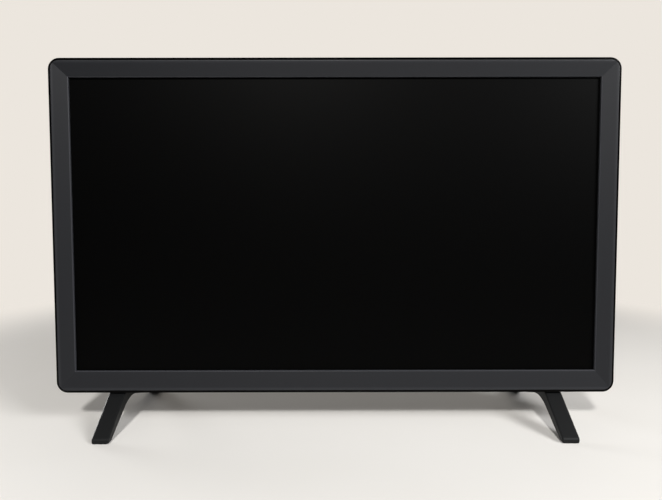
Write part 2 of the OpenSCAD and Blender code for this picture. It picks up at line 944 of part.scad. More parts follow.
module data_socket() {
  color(metal) at_port(data_height) {
    difference() {
      block([0, 0, -data_w / 2], [14, data_h, data_w / 2]);
      block([-1, 0.4, 0.4 - data_w / 2], [13, data_h - 0.4, data_w / 2 - 0.4]);
    }
    block([1.5, 0.9, -5.5], [13.5, 2.8, 5.5]);
  }
}

module network_socket() {
  color("#8d9194") at_port(network_height) difference() {
    block([0, 0, -network_w / 2], [21, network_h, network_w / 2]);
    block([-1, 2.6, -5.9], [14, 10.8, 5.9]);
    block([-1, 1, -3.2], [9, 3, 3.2]);
  }
}

module headphone_jack() {
  color("#1c1d1f") at_port(phone_height) difference() {
    block([0, 0, -phone_w / 2], [13, phone_h, phone_w / 2]);
    port_rod(phone_h / 2, -1, 12, phone_bore_r);
  }
}

module power_inlet() {
  color("#1c1d1f") at_port(power_height) {
    difference() {
      block([0, 0, -power_w / 2], [14, power_h, power_w / 2]);
      port_rod(power_h / 2, -1, 11, 3.2);
    }
    port_rod(power_h / 2, 1.5, 12, 1);
  }
}

module card_slot() {
  color(metal) at_port(card_height) difference() {
    block([0, 0, -card_w / 2], [card_len, card_h, card_w / 2]);
    block([-1, 1, -card_room_w / 2], [card_room, card_h - 1, card_room_w / 2]);
  }
}

module cable_sockets() {
  color("#e4e0d4") in_body() {
    block([-control_plug_w, board_back, control_plug], [0, board_back + 2.4, control_plug + flat_plug_h]);
    block(
      [-control_plug_w, control_back - flat_plug_h, control_low + control_t],
      [0, control_back, control_low + control_t + 2.4]
    );
    block(
      [-panel_plug_out, board_front - 2, panel_plug],
      [-panel_plug_in, board_front, panel_plug + flat_plug_h]
    );
    block(
      [-panel_plug_out, source_back, source_low + source_h / 2],
      [-panel_plug_in, source_back + 2, source_low + source_h - 1]
    );
    block(
      [-lead_plug_left, board_back, lead_plug_left_low],
      [lead_plug_w - lead_plug_left, board_back + lead_plug_t, lead_plug_left_low + lead_plug_h]
    );
    block(
      [board_right - lead_plug_w, board_back, lead_plug_right_low],
      [board_right, board_back + lead_plug_t, lead_plug_right_low + lead_plug_h]
    );
  }
}

// Flat cable between the source board and the main board.
module panel_cable() {
  low = source_low + source_h - 1;
  color("#d8d9db") in_body() across(-60, -20) polygon([
    [source_back + 0.8, low], [source_back + 1.2, low],
    [board_front - 0.8, panel_plug], [board_front - 1.2, panel_plug]
  ]);
}

// Flat cable between the control board and the main board.
module control_cable() {
  low = control_low + control_t + 2.4;
  color("#d8d9db") in_body() across(-11, -1) polygon([
    [control_back - 2.2, low], [control_back - 1.8, low],
    [board_back + 1.4, control_plug], [board_back + 1, control_plug]
  ]);
}

module bar_between(a, b, r) {
  v = b - a;
  translate(a) rotate([0, acos(v.z / norm(v)), atan2(v.y, v.x)]) cylinder(h = norm(v), r = r);
}

module wire(points, r) {
  for (i = [0 : len(points) - 2]) bar_between(points[i], points[i + 1], r);
  for (i = [1 : len(points) - 2]) translate(points[i]) sphere(r * 1.08);
}

module speaker_leads() {
  end = speaker_x - speaker_w / 2;
  depth = board_back + 1.8;
  color("#a8322c") in_body() {
    wire([
      [-end, driver_depth, ear_height], [4 - end, driver_depth, ear_height],
      [-60, depth, board_low], [-60, depth, board_low + 8]
    ], 1.1);
    wire([
      [end, driver_depth, ear_height], [end - 4, driver_depth, ear_height],
      [board_right + 8, depth, board_low + 19], [board_right, depth, board_low + 19]
    ], 1.1);
  }
}

module speaker_box() {
  half = speaker_w / 2;
  high = speaker_low + speaker_h;
  in_body() difference() {
    union() {
      block([speaker_x - half, speaker_front, speaker_low], [speaker_x + half, speaker_back, high]);
      block(
        [speaker_x - half - ear_reach, ear_front, ear_height - 6],
        [speaker_x + half + ear_reach, speaker_back, ear_height + 6]
      );
    }
    block(
      [speaker_x - half + speaker_wall, speaker_front + speaker_wall, speaker_low + speaker_wall],
      [speaker_x + half - speaker_wall, speaker_back - speaker_wall, high - speaker_wall]
    );
    translate([speaker_x, driver_depth, speaker_low - 1]) cylinder(h = speaker_wall + 2, r = basket_r + slip);
    for (x = ear_spots) rod(x, ear_height, ear_front - 1, speaker_back + 1, 3.2);
  }
}

module speaker_box_right() {
  color("#202123") speaker_box();
}

module speaker_box_left() {
  color("#202123") mirror([1, 0, 0]) speaker_box();
}

// Places a driver part with z running up from the driver's front.
module at_driver() {
  in_body() translate([speaker_x, driver_depth, driver_low]) children();
}

module driver_frame() {
  yoke = coil_top + cone_travel + 0.5;
  at_driver() rotate_extrude() polygon([
    [0, 8], [3.5, 8], [3.5, yoke], [4.8, yoke], [4.8, 9], [basket_r - 0.8, 9], [basket_r - 0.8, 0],
    [driver_r, 0], [driver_r, 1.4], [basket_r, 1.4], [basket_r, 10], [basket_r - 3, 10],
    [basket_r - 3, yoke + 2], [0, yoke + 2]
  ]);
}

module speaker_frame_right() {
  color("#3a3b3e") driver_frame();
}

module speaker_frame_left() {
  color("#3a3b3e") mirror([1, 0, 0]) driver_frame();
}

module driver_cone() {
  at_driver() rotate_extrude() polygon([
    [0, 4.6], [4, 5.2], [cone_r - 0.8, 0], [cone_r, 0], [cone_r, 0.6], [4.3, 6.2],
    [4.3, coil_top], [3.9, coil_top], [3.9, 6], [0, 5.2]
  ]);
}

module speaker_cone_right() {
  color("#2c2c2c") driver_cone();
}

module speaker_cone_left() {
  color("#2c2c2c") mirror([1, 0, 0]) driver_cone();
}

// Half roll of rubber between the cone's edge and the frame.
module driver_surround() {
  at_driver() rotate_extrude() {
    difference() {
      union() {
        translate([cone_r + 0.6, 0]) circle(0.9);
        translate([cone_r - 0.8, -0.4]) square([4.2, 0.4]);
      }
      translate([cone_r + 0.6, 0]) circle(0.5);
      translate([cone_r - 1, 0]) square([6, 2]);
    }
  }
}

module speaker_surround_right() {
  color("#141414") driver_surround();
}

module speaker_surround_left() {
  color("#141414") mirror([1, 0, 0]) driver_surround();
}

module speaker_grommets() {
  color("#262626") in_body() both_sides() for (x = ear_spots) difference() {
    union() {
      rod(x, ear_height, post_front + 0.1, ear_front - 0.1, 4.6);
      rod(x, ear_height, post_front + 0.1, shoulder - 0.1, 3.1);
      rod(x, ear_height, speaker_back + 0.1, shoulder - 0.1, 4.6);
    }
    rod(x, ear_height, post_front - 1, shoulder + 1, post_r + 0.1);
  }
}

module speaker_screws() {
  color(metal) in_body() both_sides() for (x = ear_spots) {
    rod(x, ear_height, post_front - 1.4, post_front, 4.2);
    rod(x, ear_height, post_front - 0.2, shoulder, 0.95);
  }
}

module control_board() {
  color(board_green) in_body() difference() {
    block([control_left, control_front, control_low], [control_right, control_back, control_low + control_t]);
    for (x = control_spots)
      translate([x, stick_depth, control_low - 1]) cylinder(h = control_t + 2, r = 1.5);
  }
}

module control_screws() {
  color(metal) in_body() for (x = control_spots)
    translate([x, stick_depth, control_low + control_t]) {
      cylinder(h = 1.4, r = 2.3);
      translate([0, 0, -6.5]) cylinder(h = 6.7, r = 1.2);
    }
}

// Places a part of the control stick at the point that the stick tilts about.
module at_pivot() {
  in_body() translate([0, stick_depth, pivot_height]) children();
}

module stick_housing() {
  color("#26272a") at_pivot() difference() {
    translate([0, 0, 4.8 - pivot_height]) cylinder(h = control_low - 4.8, r = housing_r);
    translate([0, 0, -pivot_height]) cylinder(h = 2 * control_low, r = housing_bore);
    rotate([0, 90, 0]) translate([0, 0, -10]) cylinder(h = 20, r = pin_r + run_fit);
  }
}

module stick_ring() {
  color("#8a8d90") at_pivot() {
    difference() {
      translate([0, 0, -gimbal_t / 2]) cylinder(h = gimbal_t, r = ring_out);
      translate([0, 0, -gimbal_t]) cylinder(h = 2 * gimbal_t, r = ring_in);
      rotate([90, 0, 0]) translate([0, 0, -10]) cylinder(h = 20, r = pin_r + run_fit);
    }
    for (side = [-90, 90])
      rotate([0, side, 0]) translate([0, 0, ring_out - 0.5])
        cylinder(h = housing_r - ring_out + 0.3, r = pin_r);
  }
}

module stick_cradle() {
  color("#d4d5d2") at_pivot() difference() {
    union() {
      translate([0, 0, -gimbal_t / 2]) cylinder(h = gimbal_t, r = cradle_r);
      for (side = [-90, 90])
        rotate([side, 0, 0]) translate([0, 0, 3]) cylinder(h = ring_out - 3.2, r = pin_r);
    }
    translate([0, 0, -gimbal_t]) cylinder(h = 2 * gimbal_t, r = stem_r + run_fit);
  }
}

module control_button() {
  collar = pivot_height + gimbal_t / 2 + 0.1;
  color("#1b1b1d") in_body() translate([0, stick_depth, 0]) rotate_extrude() polygon([
    [0, 0.6 - button_drop], [3, 0.3 - button_drop], [3.8, -button_drop], [button_r - 0.5, 0.1 - button_drop],
    [button_r, 0.7 - button_drop], [button_r, 0.8], [button_r - 0.4, 1.2], [stem_r, 1.2],
    [stem_r, collar], [2.4, collar], [2.4, stem_top - 0.45], [0, stem_top]
  ]);
}

module press_switch() {
  color("#c8c9ca") in_body() translate([0, stick_depth, control_low]) {
    translate([-2.2, -2.2, -switch_t]) cube([4.4, 4.4, switch_t]);
    translate([0, 0, -switch_t - plunger_t]) cylinder(h = plunger_t + 0.2, r = 1);
  }
}

module remote_window() {
  color("#2a0d10") in_body() translate([window_x, stick_depth, 0]) {
    translate([-window_w / 2, -window_d / 2, -1.5]) cube([window_w, window_d, wall + 5]);
    translate([-window_w / 2 - 1, -window_d / 2 - 1, wall]) cube([window_w + 2, window_d + 2, 1]);
  }
}

module remote_receiver() {
  color("#17181a") in_body() translate([window_x, stick_depth, 0])
    block([-2.5, -2.5, wall + 3.8], [2.5, 2.5, control_low]);
}

// Direction, seen from the arch's centre, where a line from a sole's end touches the arch.
function touch_angle(p, c, side) =
  let (v = p - c)
  atan2(v.y, v.x) - side * acos(arch_r / norm(v));

// Side view of a foot blade, as points that run counter-clockwise.
function foot_points() =
  let (
    mid = [arch_depth, -arch_t - arch_r],
    neck = [neck_front, 0],
    toe_top = [-toe_reach, sole + toe_h],
    shin = (neck - toe_top) / norm(neck - toe_top),
    toe_end = [toe_len - toe_reach, sole],
    heel_end = [heel_reach - heel_len, sole],
    from = touch_angle(toe_end, mid, 1),
    to = touch_angle(heel_end, mid, -1),
    steps = 16
  )
  concat(
    [neck, toe_top + shin * foot_edge, toe_top - [0, foot_edge], [-toe_reach, sole], toe_end],
    [for (i = [0 : steps]) let (turn = from + (to - from) * i / steps) mid + arch_r * [cos(turn), sin(turn)]],
    [heel_end, [heel_reach, sole], [heel_reach, sole + heel_h], [neck_back, 0]]
  );

// Points of an outline moved inward.
function inset_points(points, dist) =
  let (n = len(points))
  [for (i = [0 : n - 1])
    let (
      u = points[i] - points[(i + n - 1) % n],
      v = points[(i + 1) % n] - points[i],
      a = u / norm(u),
      b = v / norm(v)
    )
    points[i] + [-a.y - b.y, a.x + b.x] * dist / (1 + a * b)];

// Blade with chamfered edges, from a side view.
module blade(points, w, edge) {
  n = len(points);
  inner = inset_points(points, edge);
  layers = [[-w / 2, inner], [edge - w / 2, points], [w / 2 - edge, points], [w / 2, inner]];
  polyhedron(
    points = [for (layer = layers, p = layer[1]) [layer[0], p.x, p.y]],
    faces = concat(
      [[for (i = [0 : n - 1]) i], [for (i = [n - 1 : -1 : 0]) 3 * n + i]],
      [for (k = [0 : 2], i = [0 : n - 1])
        let (j = (i + 1) % n)
        [k * n + i, (k + 1) * n + i, (k + 1) * n + j, k * n + j]]
    )
  );
}

// Seats of the rubber pads under one foot, drawn out by a margin.
module pad_blocks(margin, h) {
  half = foot_w / 2 - 2 + margin;
  toe = [pad_gap - toe_reach, toe_len - toe_reach - pad_gap];
  heel = [heel_reach - heel_len + pad_gap, heel_reach - pad_gap];
  for (ends = [toe, heel])
    block([foot_x - half, ends[0] - margin, -lift], [foot_x + half, ends[1] + margin, h - lift]);
}

module foot() {
  in_body() difference() {
    union() {
      translate([foot_x, 0, 0]) blade(foot_points(), foot_w, foot_edge);
      block([foot_x - tenon_w / 2, tenon_front, -2], [foot_x + tenon_w / 2, tenon_back, tenon_h]);
    }
    rod(foot_x, foot_screw_height, tenon_front + 1.5, tenon_back + 1, screw_r + thread_fit);
    pad_blocks(0.1, pad_t);
  }
}

module foot_right() {
  color(foot_grey) foot();
}

module foot_left() {
  color(foot_grey) mirror([1, 0, 0]) foot();
}

module foot_pads() {
  color("#1d1d1d") in_body() both_sides() pad_blocks(0, pad_t);
}

module foot_screws() {
  color("#2b2c2e") in_body() both_sides()
    translate([foot_x, tray_depth - screw_head_h, foot_screw_height])
      pan_screw(screw_head_r, screw_head_h, screw_r, foot_screw_len);
}

front_bezel();
screen_gasket();
front_polariser();
lcd_cell();
panel_frame();
prism_sheet();
diffuser_sheet();
light_guide();
reflector_sheet();
led_strip();
led_packages();
backlight_pan();
source_board();
driver_films();
cover_pillars();
rear_cover();
cover_screws();
bracket_inserts();
board_pillars();
main_board();
board_screws();
board_chips();
board_capacitors();
heat_sink();
tuner_can();
aerial_socket();
picture_sockets();
data_socket();
network_socket();
headphone_jack();
power_inlet();
card_slot();
cable_sockets();
panel_cable();
control_cable();
speaker_leads();
speaker_box_right();
speaker_box_left();
speaker_frame_right();
speaker_frame_left();
speaker_cone_right();
speaker_cone_left();
speaker_surround_right();
speaker_surround_left();
speaker_grommets();
speaker_screws();
control_board();
control_screws();
stick_housing();
stick_ring();
stick_cradle();
control_button();
press_switch();
remote_window();
remote_receiver();
foot_right();
foot_left();
foot_pads();
foot_screws();
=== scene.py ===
import math

import bmesh
import bpy
from mathutils import Matrix, Vector


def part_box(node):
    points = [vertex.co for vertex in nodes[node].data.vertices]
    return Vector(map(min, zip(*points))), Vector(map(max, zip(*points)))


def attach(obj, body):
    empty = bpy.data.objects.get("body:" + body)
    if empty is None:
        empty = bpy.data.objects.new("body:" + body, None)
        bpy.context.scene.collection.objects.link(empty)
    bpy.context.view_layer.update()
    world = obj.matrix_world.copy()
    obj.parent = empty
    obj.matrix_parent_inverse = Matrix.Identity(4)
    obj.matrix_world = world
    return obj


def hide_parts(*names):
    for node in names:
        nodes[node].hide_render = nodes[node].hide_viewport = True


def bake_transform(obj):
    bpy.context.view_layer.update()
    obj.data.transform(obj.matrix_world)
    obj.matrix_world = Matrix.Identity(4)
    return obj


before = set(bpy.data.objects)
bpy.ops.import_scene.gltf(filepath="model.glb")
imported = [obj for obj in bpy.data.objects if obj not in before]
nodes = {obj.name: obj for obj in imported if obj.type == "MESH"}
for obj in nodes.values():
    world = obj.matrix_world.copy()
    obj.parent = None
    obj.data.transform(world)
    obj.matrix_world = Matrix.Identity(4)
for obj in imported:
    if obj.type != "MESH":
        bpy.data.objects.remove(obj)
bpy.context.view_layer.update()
mm = 0.001
featureScale = 1000  # noise or cell scale that gives features 1 mm wide
bandScale = 314.16  # wave scale that gives bands 1 mm apart
print("frame loaded:", len(nodes), "nodes")


def hexColor(code):
    channels = [int(code[i:i + 2], 16) / 255 for i in (1, 3, 5)]
    linear = [c / 12.92 if c <= 0.04045 else ((c + 0.055) / 1.055) ** 2.4 for c in channels]
    return (*linear, 1.0)


def addNode(tree, kind, inputs=None, links=None, **settings):
    node = tree.nodes.new(kind)
    for name, value in settings.items():
        setattr(node, name, value)
    for socket, value in (inputs or {}).items():
        node.inputs[socket].default_value = value
    for socket, source in (links or {}).items():
        tree.links.new(source, node.inputs[socket])
    return node


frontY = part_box("front_bezel")[0][1]  # plane of the bezel's ridge, m

# camera, fitted to the edges of body, screen opening and toes in the 662 x 500 photograph
cameraView = {
    "place": (-4.70, -506.50, 206.39),  # mm, the depth counted from the bezel's ridge
    "focalPixels": 510.6,
    "imageWidth": 662,
    "sensorWidth": 36,  # mm
    "nearClip": 0.01,  # m
    "pitch": -2.866,  # degrees, as yaw and roll
    "yaw": -0.064,
    "roll": 0.088,
}


def placeCamera(spec):
    data = bpy.data.cameras.new("photoCamera")
    data.sensor_width = spec["sensorWidth"]
    data.lens = spec["sensorWidth"] * spec["focalPixels"] / spec["imageWidth"]
    data.clip_start = spec["nearClip"]
    camera = bpy.data.objects.new("photoCamera", data)
    bpy.context.scene.collection.objects.link(camera)
    turn = Matrix.Rotation(math.radians(spec["yaw"]), 4, "Z")
    turn = turn @ Matrix.Rotation(math.radians(90 + spec["pitch"]), 4, "X")
    turn = turn @ Matrix.Rotation(math.radians(-spec["roll"]), 4, "Z")
    place = Vector(spec["place"]) * mm + Vector((0, frontY, 0))
    camera.matrix_world = Matrix.Translation(place) @ turn
    bpy.context.scene.camera = camera


placeCamera(cameraView)
bpy.context.scene.view_settings.view_transform = "Standard"
print("camera set")


# pale room: warm white behind the set, in front of it a grey that darkens downward
room = {
    "pale": "#ece6de",
    "frontHigh": "#c8c8ca",
    "frontLow": "#2c2c2e",
    "strength": 0.25,
    "rise": (-0.05, 0.4),  # upward part of the direction where the front lightens
    "turn": (-0.5, 0.3),  # backward part of the direction where front gives way to the warm white
}


def backgroundRays(tree):  # rays that see the background: the camera's, and those reflected or let through
    path = addNode(tree, "ShaderNodeLightPath")
    mirrored = addNode(tree, "ShaderNodeMath", links={
        0: path.outputs["Is Glossy Ray"], 1: path.outputs["Is Transmission Ray"],
    }, operation="MAXIMUM")
    return path.outputs["Is Camera Ray"], mirrored.outputs["Value"]


def lightRoom(spec):
    world = bpy.data.worlds.new("paleRoom")
    bpy.context.scene.world = world
    world.use_nodes = True
    tree = world.node_tree
    tree.nodes.clear()
    coords = addNode(tree, "ShaderNodeTexCoord")
    parts = addNode(tree, "ShaderNodeSeparateXYZ", links={"Vector": coords.outputs["Generated"]})
    height = addNode(
        tree, "ShaderNodeMapRange", {"From Min": spec["rise"][0], "From Max": spec["rise"][1]},
        {"Value": parts.outputs["Z"]}, interpolation_type="SMOOTHSTEP",
    )
    front = addNode(
        tree, "ShaderNodeMix", {"A": hexColor(spec["frontLow"]), "B": hexColor(spec["frontHigh"])},
        {"Factor": height.outputs["Result"]}, data_type="RGBA",
    )
    depth = addNode(
        tree, "ShaderNodeMapRange", {"From Min": spec["turn"][0], "From Max": spec["turn"][1]},
        {"Value": parts.outputs["Y"]}, interpolation_type="SMOOTHSTEP",
    )
    tone = addNode(
        tree, "ShaderNodeMix", {"B": hexColor(spec["pale"])},
        {"Factor": depth.outputs["Result"], "A": front.outputs["Result"]}, data_type="RGBA",
    )
    glow = addNode(
        tree, "ShaderNodeBackground", {"Strength": spec["strength"]}, {"Color": tone.outputs["Result"]}
    )
    backdrop = addNode(tree, "ShaderNodeBackground", {"Color": hexColor(spec["pale"]), "Strength": 1.0})
    direct, mirrored = backgroundRays(tree)
    behind = addNode(
        tree, "ShaderNodeMath", links={0: mirrored, 1: depth.outputs["Result"]}, operation="MULTIPLY"
    )  # reflections show it behind the set only
    shown = addNode(
        tree, "ShaderNodeMath", links={0: direct, 1: behind.outputs["Value"]}, operation="MAXIMUM"
    )
    pick = addNode(tree, "ShaderNodeMixShader", links={
        0: shown.outputs["Value"], 1: glow.outputs["Background"], 2: backdrop.outputs["Background"],
    })
    addNode(tree, "ShaderNodeOutputWorld", links={"Surface": pick.outputs["Shader"]})


lightRoom(room)

# soft boxes: width and height in m, place in m, aim in m, power in W
softBoxes = {
    "frontKey": {
        "size": (0.2, 0.2), "place": (-0.15, -1.9, 1.45), "aim": (0.0, 0.0, 0.15),
        "power": 44, "tint": "#fffdfa",
    },
    "rightFill": {
        "size": (0.7, 0.5), "place": (1.22, -1.06, 1.0), "aim": (0.0, 0.0, 0.15),
        "power": 27, "tint": "#ffffff",
    },
    "backFill": {  # low, so that it lights the back and hardly the table
        "size": (0.8, 0.6), "place": (-2.0, 1.3, 0.32), "aim": (0.0, 0.0, 0.2),
        "power": 30, "tint": "#ffffff",
    },
}
for name, spec in softBoxes.items():
    data = bpy.data.lights.new(name, "AREA")
    data.shape = "RECTANGLE"
    data.size, data.size_y = spec["size"]
    data.energy = spec["power"]
    data.color = hexColor(spec["tint"])[:3]
    lamp = bpy.data.objects.new(name, data)
    bpy.context.scene.collection.objects.link(lamp)
    lamp.location = spec["place"]
    aim = Vector(spec["aim"]) - Vector(spec["place"])
    lamp.rotation_euler = aim.to_track_quat("-Z", "Y").to_euler()
print("lights set:", len(softBoxes))


def startMaterial(name):
    material = bpy.data.materials.new(name)
    material.use_nodes = True
    tree = material.node_tree
    tree.nodes.clear()
    shader = addNode(tree, "ShaderNodeBsdfPrincipled")
    addNode(tree, "ShaderNodeOutputMaterial", links={"Surface": shader.outputs["BSDF"]})
    return material, tree, shader


# table top: lacquered board, pale and almost even, which runs out into the background's colour
table = {
    "colour": "#e4e2df", "shade": "#e0deda", "mottle": 140.0, "roughness": 0.5, "specular": 0.08,
    "middle": (0.0, 0.35, 0.0), "radius": 0.95, "fadeFrom": 0.55, "fadeTo": 0.9,  # m
    "sides": 96,
}


def layTable(spec):
    mesh = bpy.data.meshes.new("tableTop")
    shape = bmesh.new()
    bmesh.ops.create_circle(shape, cap_ends=True, segments=spec["sides"], radius=spec["radius"])
    shape.to_mesh(mesh)
    shape.free()
    floor = bpy.data.objects.new("tableTop", mesh)
    floor.location = spec["middle"]
    bpy.context.scene.collection.objects.link(floor)
    material, tree, shader = startMaterial("lacqueredBoard")
    coords = addNode(tree, "ShaderNodeTexCoord")
    cloud = addNode(
        tree, "ShaderNodeTexNoise", {"Scale": featureScale / spec["mottle"], "Detail": 3.0},
        {"Vector": coords.outputs["Object"]},
    )
    tone = addNode(
        tree, "ShaderNodeMix", {"A": hexColor(spec["colour"]), "B": hexColor(spec["shade"])},
        {"Factor": cloud.outputs["Fac"]}, data_type="RGBA",
    )
    tree.links.new(tone.outputs["Result"], shader.inputs["Base Color"])
    shader.inputs["Roughness"].default_value = spec["roughness"]
    shader.inputs["Specular IOR Level"].default_value = spec["specular"]
    reach = addNode(tree, "ShaderNodeVectorMath", links={0: coords.outputs["Object"]}, operation="LENGTH")
    direct, mirrored = backgroundRays(tree)
    shown = addNode(tree, "ShaderNodeMath", links={0: direct, 1: mirrored}, operation="MAXIMUM")
    fade = addNode(
        tree, "ShaderNodeMapRange", {"From Min": spec["fadeFrom"], "From Max": spec["fadeTo"]},
        {"Value": reach.outputs["Value"], "To Max": shown.outputs["Value"]},
        interpolation_type="SMOOTHSTEP",
    )
    far = addNode(tree, "ShaderNodeEmission", {"Color": hexColor(room["pale"]), "Strength": 1.0})
    blend = addNode(tree, "ShaderNodeMixShader", links={
        0: fade.outputs["Result"], 1: shader.outputs["BSDF"], 2: far.outputs["Emission"],
    })
    tree.links.new(blend.outputs["Shader"], tree.nodes["Material Output"].inputs["Surface"])
    mesh.materials.append(material)


layTable(table)
print("table laid")

# each finish: colour and its darker patches, typical index and roughness, patterns with sizes in mm
finishes = {}
plainFinish = {  # what a finish has unless it says otherwise
    "spread": 0.05, "waver": 0.0, "relief": 0.0, "polishAndPaintedLight": (), "metallic": 0.0, "ior": 1.5, "specular": 0.5,
    "coat": 0.0, "coatRoughness": 0.1, "clear": 0.0,
}
bumpStrength = 0.5


def makeFinish(name, given):
    spec = {**plainFinish, **given}
    material, tree, shader = startMaterial(name)
    coords = addNode(tree, "ShaderNodeTexCoord").outputs["Object"]
    cloud = addNode(
        tree, "ShaderNodeTexNoise",
        {"Scale": featureScale / spec["mottle"], "Detail": 4.0, "Roughness": 0.6}, {"Vector": coords},
    )
    tone = addNode(
        tree, "ShaderNodeMix", {"A": hexColor(spec["colour"]), "B": hexColor(spec["shade"])},
        {"Factor": cloud.outputs["Fac"]}, data_type="RGBA",
    )
    colour = tone.outputs["Result"]
    height = None
    if "grain" in spec:  # fine texture of the mould or the sheet
        grain = addNode(
            tree, "ShaderNodeTexNoise", {"Scale": featureScale / spec["grain"], "Detail": 2.0},
            {"Vector": coords},
        )
        height = grain.outputs["Fac"]
    if "lines" in spec:  # drawn, extruded or printed lines across one axis
        lines = addNode(
            tree, "ShaderNodeTexWave", {"Scale": bandScale / spec["lines"], "Distortion": spec["waver"]},
            {"Vector": coords}, bands_direction=spec["across"],
        )
        height = lines.outputs["Fac"]
    if "cells" in spec:  # foam cells, zinc spangle, dots or pads
        cells = addNode(
            tree, "ShaderNodeTexVoronoi", {"Scale": featureScale / spec["cells"]}, {"Vector": coords}
        )
        height = cells.outputs["Distance"]
    if "markColour" in spec:  # the pattern also shows as a second colour
        step = addNode(
            tree, "ShaderNodeMapRange", {"From Min": spec["markFrom"], "From Max": spec["markTo"]},
            {"Value": height},
        )
        mark = addNode(
            tree, "ShaderNodeMix", {"B": hexColor(spec["markColour"])},
            {"Factor": step.outputs["Result"], "A": colour}, data_type="RGBA",
        )
        colour = mark.outputs["Result"]
    rough = addNode(
        tree, "ShaderNodeMapRange",
        {"To Min": spec["roughness"] - spec["spread"], "To Max": spec["roughness"] + spec["spread"]},
        {"Value": cloud.outputs["Fac"]},
    ).outputs["Result"]
    strength = None
    for zone in spec["polishAndPaintedLight"]:  # bands of depth with their own tone and polish, mm behind the ridge; the tones are painted highlight and painted shade
        parts = addNode(tree, "ShaderNodeSeparateXYZ", links={"Vector": coords})
        share = addNode(
            tree, "ShaderNodeMapRange",
            {"From Min": frontY + zone["none"] * mm, "From Max": frontY + zone["full"] * mm},
            {"Value": parts.outputs["Y"]},
        ).outputs["Result"]
        colour = addNode(
            tree, "ShaderNodeMix", {"B": hexColor(zone["colour"])}, {"Factor": share, "A": colour},
            data_type="RGBA",
        ).outputs["Result"]
        rough = addNode(
            tree, "ShaderNodeMix", {"B": zone["roughness"]}, {"Factor": share, "A": rough},
            data_type="FLOAT",
        ).outputs["Result"]
        if "smooth" in zone:  # polished off in the tool, so the relief fades out
            strength = addNode(
                tree, "ShaderNodeMapRange", {"To Min": bumpStrength, "To Max": 0.0}, {"Value": share}
            ).outputs["Result"]
    tree.links.new(colour, shader.inputs["Base Color"])
    tree.links.new(rough, shader.inputs["Roughness"])
    if height is not None and spec["relief"]:
        bump = addNode(
            tree, "ShaderNodeBump", {"Strength": bumpStrength, "Distance": spec["relief"] * mm},
            {"Height": height},
        )
        if strength is not None:
            tree.links.new(strength, bump.inputs["Strength"])
        tree.links.new(bump.outputs["Normal"], shader.inputs["Normal"])
    shader.inputs["Metallic"].default_value = spec["metallic"]
    if not spec["metallic"]:  # a metal keeps the default index
        shader.inputs["IOR"].default_value = spec["ior"]
    shader.inputs["Specular IOR Level"].default_value = spec["specular"]
    shader.inputs["Coat Weight"].default_value = spec["coat"]
    shader.inputs["Coat Roughness"].default_value = spec["coatRoughness"]
    shader.inputs["Transmission Weight"].default_value = spec["clear"]
    finishes[name] = material


# moulded ABS, satin-etched tool: soft broad sheen, faint grain, hardly any colour change except painted
# highlights at the ridge and the lip
makeFinish("mouldedAbsBezel", {
    "colour": "#1d1e21", "shade": "#1a1b1e", "mottle": 45, "ior": 1.54, "roughness": 0.52, "specular": 0.15,
    "grain": 0.9, "relief": 0.02,  # real grain is near 0.1 mm, drawn coarser to show
    "polishAndPaintedLight": [
        {"none": 0.35, "full": 0.1, "colour": "#26272a", "roughness": 0.45},  # painted highlight along the ridge, with a smoother polish
        {"none": 2.42, "full": 2.52, "colour": "#303135", "roughness": 0.45},  # painted highlight along the lip at the screen, with a smoother polish
    ],
})
# moulded ABS, spark-eroded tool: dark grey and dull with a fine pebble; polished along the rim and there
# near black, its own black together with painted shade of the gap at the bezel
makeFinish("sparkErodedAbsCover", {
    "colour": "#353638", "shade": "#2f3032", "mottle": 60, "ior": 1.54, "roughness": 0.5, "specular": 0.04,
    "cells": 1.1, "relief": 0.05,  # pebble near 0.3 mm, drawn coarser to show
    "polishAndPaintedLight": [
        {"none": 9.0, "full": 4.0, "colour": "#020202", "roughness": 0.12, "smooth": True},  # polished rim, painted near black: its own black together with painted shade of the gap at the bezel
    ],
})
# moulded ABS feet: the bezel's grey a shade darker
makeFinish("mouldedAbsFeet", {
    "colour": "#111213", "shade": "#0e0f10", "mottle": 35, "ior": 1.54, "roughness": 0.5, "specular": 0.13,
    "grain": 0.9, "relief": 0.02,
})
# anti-glare polariser, etched hard coat on film: deep black with a wide faint haze
makeFinish("antiGlarePolariser", {
    "colour": "#030303", "shade": "#020202", "mottle": 160, "ior": 1.49, "roughness": 0.45, "spread": 0.02,
    "specular": 0.03, "grain": 0.8, "relief": 0.004,  # etch is microns wide, drawn coarser to show
})
# bonded soda-lime glass pair seen at its edges: dark with a green-grey cast
makeFinish("bondedGlassPair", {
    "colour": "#1c2226", "shade": "#161b1e", "mottle": 80, "ior": 1.52, "roughness": 0.08, "spread": 0.03,
})
# polyurethane foam strip: black and pitted with closed cells
makeFinish("polyurethaneFoam", {
    "colour": "#151515", "shade": "#0d0d0d", "mottle": 6, "roughness": 0.9, "cells": 0.6, "relief": 0.2,
})
# moulded black polycarbonate: inner frames and boxes, plain satin
makeFinish("mouldedPolycarbonate", {
    "colour": "#1c1d1f", "shade": "#161719", "mottle": 25, "ior": 1.58, "roughness": 0.45,
    "grain": 0.8, "relief": 0.02,
})
# embossed PET prism film: milky with fine parallel ridges
makeFinish("embossedPetFilm", {
    "colour": "#dfe2e5", "shade": "#cfd3d6", "mottle": 90, "ior": 1.57, "roughness": 0.25,
    "lines": 1.0, "across": "Z", "relief": 0.03,  # ridges are 0.05 mm apart, drawn coarser to show
})
# bead-coated PET diffuser: white and dull
makeFinish("beadedPetDiffuser", {
    "colour": "#efefec", "shade": "#e6e6e2", "mottle": 70, "ior": 1.57, "roughness": 0.7,
    "cells": 0.7, "relief": 0.03,
})
